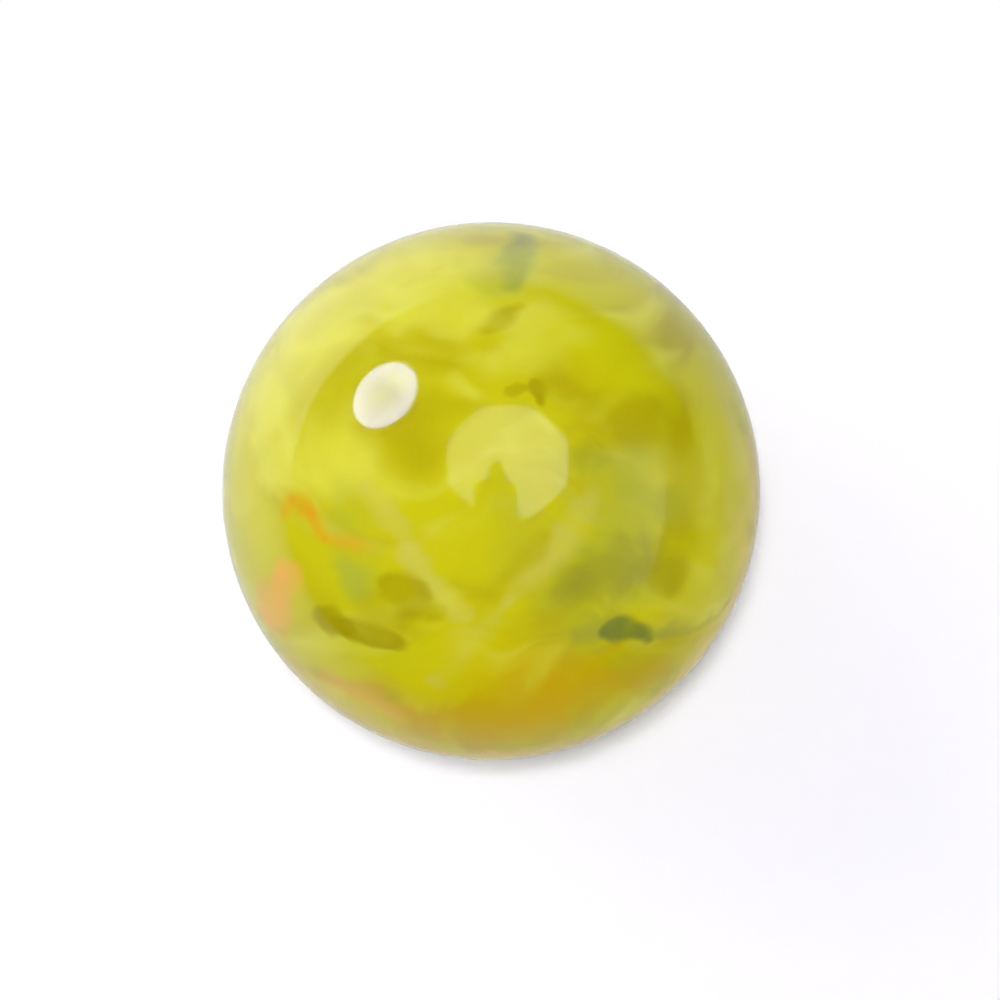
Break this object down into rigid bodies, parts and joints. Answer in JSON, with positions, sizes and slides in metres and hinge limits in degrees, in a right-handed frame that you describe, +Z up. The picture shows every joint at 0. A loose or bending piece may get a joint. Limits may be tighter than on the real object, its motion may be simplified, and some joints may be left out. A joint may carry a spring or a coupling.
{
  "type": "glass marble",
  "caption": "Solid glass playing marble: a polished translucent yellow ball with soft olive, orange and blue-green swirls inside.",
  "frame": {"origin": "centre of the ball", "axes": "+Z up, away from the surface it lies on, with its paler swirled face upwards; +X and +Y level"},
  "size_m": [0.016, 0.016, 0.016],
  "materials": {
    "swirled_glass": "polished translucent yellow glass with olive, orange and blue-green swirls"
  },
  "bodies": {
    "root": {"glass_marble": "swirled_glass"}
  },
  "joints": []
}
